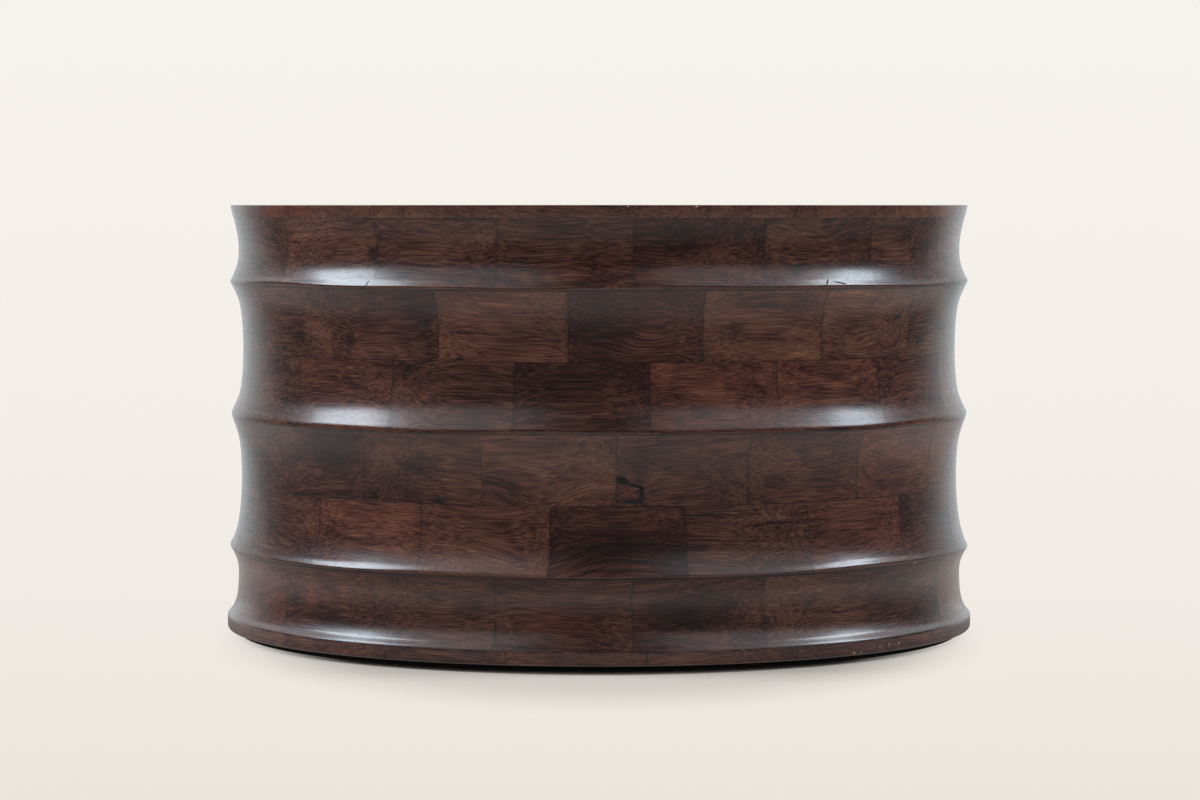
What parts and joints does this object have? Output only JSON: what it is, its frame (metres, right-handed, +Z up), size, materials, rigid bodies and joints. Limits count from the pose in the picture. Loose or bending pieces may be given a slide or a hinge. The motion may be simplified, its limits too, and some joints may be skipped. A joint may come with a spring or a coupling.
{
  "type": "drum table",
  "caption": "Round drum-shaped wooden coffee table with a turned wall of glued blocks, a flat boarded top and a recessed dark plinth.",
  "frame": {"origin": "on the floor, under the centre of the drum", "axes": "+Z up along the drum's axis; the front faces -Y, and the top's boards run along X"},
  "size_m": [0.803, 0.803, 0.462],
  "materials": {
    "stained_wood": "dark red-brown stain under satin lacquer",
    "bare_wood": "sawn and unfinished",
    "black_paint": "matt black paint on wood",
    "felt": "felt"
  },
  "bodies": {
    "root": {"course_1": "stained_wood", "course_2": "stained_wood", "course_3": "stained_wood", "course_4": "stained_wood", "course_5": "stained_wood", "course_6": "stained_wood", "base_ring": "stained_wood", "top_board_01": "stained_wood", "top_board_02": "stained_wood", "top_board_03": "stained_wood", "top_board_04": "stained_wood", "top_board_05": "stained_wood", "top_board_06": "stained_wood", "top_board_07": "stained_wood", "top_board_08": "stained_wood", "top_board_09": "stained_wood", "top_board_10": "stained_wood", "top_board_11": "stained_wood", "batten_left": "bare_wood", "batten_right": "bare_wood", "glue_blocks": "bare_wood", "plinth": "black_paint", "felt_pads": "felt"}
  },
  "joints": []
}
